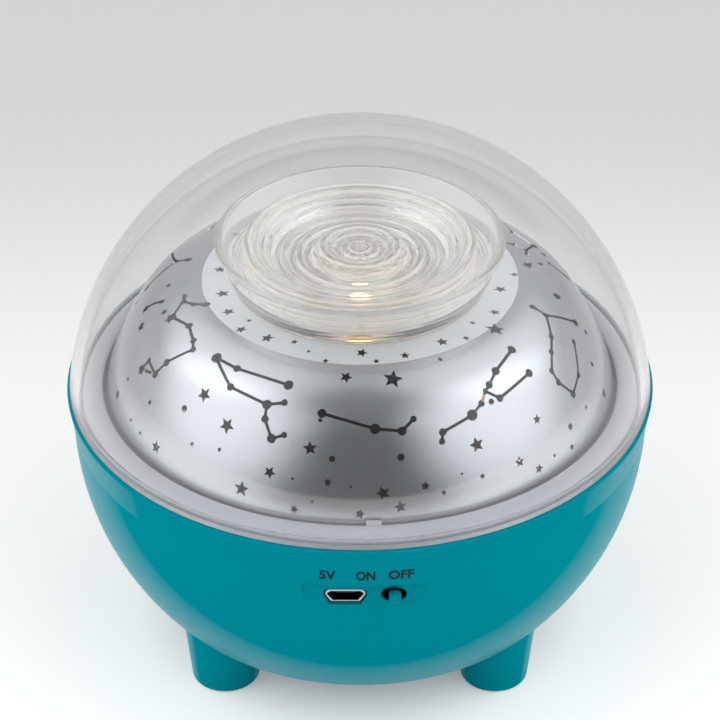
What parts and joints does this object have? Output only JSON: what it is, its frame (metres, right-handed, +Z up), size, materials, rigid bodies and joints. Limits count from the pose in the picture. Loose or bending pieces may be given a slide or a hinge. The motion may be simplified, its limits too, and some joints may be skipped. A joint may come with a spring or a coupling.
{
  "type": "star night light projector",
  "caption": "Ball-shaped night light on short feet: a pierced silver dome with a rippled lens turns under a clear cover and throws stars; slide switch and charging socket in the bowl.",
  "frame": {"origin": "on the floor, midway between the four feet", "axes": "+Z up through the dome, -Y towards the socket and switch, +X to the right as seen from there"},
  "size_m": [0.1198, 0.1198, 0.1085],
  "materials": {
    "teal_abs": "satin moulded teal ABS",
    "clear_acrylic": "clear polished acrylic",
    "pale_ring": "pale translucent ring, glossy",
    "white_abs": "white moulded ABS",
    "dark_abs": "dark grey moulded ABS",
    "silver_coat": "satin silver plating on plastic",
    "pinion_pom": "natural acetal",
    "shaft_steel": "bright steel",
    "gearbox_brass": "brass plates",
    "led_warm_resin": "clear resin, lit warm white",
    "led_blue_resin": "clear resin with a blue die",
    "led_green_resin": "clear resin with a green die",
    "board_white": "white solder mask",
    "board_green": "green solder mask",
    "chip_black": "black epoxy and sleeve",
    "socket_nylon": "natural nylon",
    "port_steel": "tin-plated steel",
    "port_black": "black nylon",
    "cell_sleeve": "blue shrink sleeve",
    "lead_pvc": "soft PVC insulation",
    "screw_steel": "zinc-plated steel"
  },
  "bodies": {
    "base": {"base_bowl": "teal_abs", "clear_dome": "clear_acrylic", "rim_ring": "pale_ring", "deck": "dark_abs", "gearbox": "gearbox_brass", "motor_can": "shaft_steel", "motor_bracket": "white_abs", "led_pillar": "dark_abs", "led_board": "board_white", "led_warm": "led_warm_resin", "led_blue": "led_blue_resin", "led_green": "led_green_resin", "main_board": "board_green", "control_chip": "chip_black", "smoothing_capacitor": "chip_black", "lead_sockets": "socket_nylon", "usb_shell": "port_steel", "usb_tongue": "port_black", "switch_body": "port_steel", "battery_cradle": "white_abs", "battery_cell": "cell_sleeve", "battery_leads": "lead_pvc", "motor_leads": "lead_pvc", "led_leads": "lead_pvc", "deck_screws": "screw_steel", "pillar_screws": "screw_steel", "board_screws": "screw_steel", "motor_screws": "screw_steel", "cradle_screws": "screw_steel"},
    "dome_rotor": {"turntable": "dark_abs", "star_dome": "silver_coat", "lens_cup": "clear_acrylic", "ripple_lens": "clear_acrylic", "lens_lock_ring": "dark_abs"},
    "drive": {"output_shaft": "shaft_steel", "drive_pinion": "pinion_pom"},
    "slider": {"switch_lever": "port_black", "switch_knob": "teal_abs"}
  },
  "joints": [
    {"name": "dome_spin", "type": "hinge", "parent": "base", "child": "dome_rotor", "pos_m": [0, 0, 0.052], "axis": [0, 0, 1], "continuous": true},
    {"name": "pinion_spin", "type": "hinge", "parent": "base", "child": "drive", "pos_m": [0, 0.036, 0.052], "axis": [0, 0, 1], "continuous": true},
    {"name": "switch_slide", "type": "slide", "parent": "base", "child": "slider", "axis": [1, 0, 0], "range_m": [-0.0012, 0.0008]}
  ],
  "couplings": [
    {"joint": "pinion_spin", "follows": "dome_spin", "ratio": 7}
  ]
}
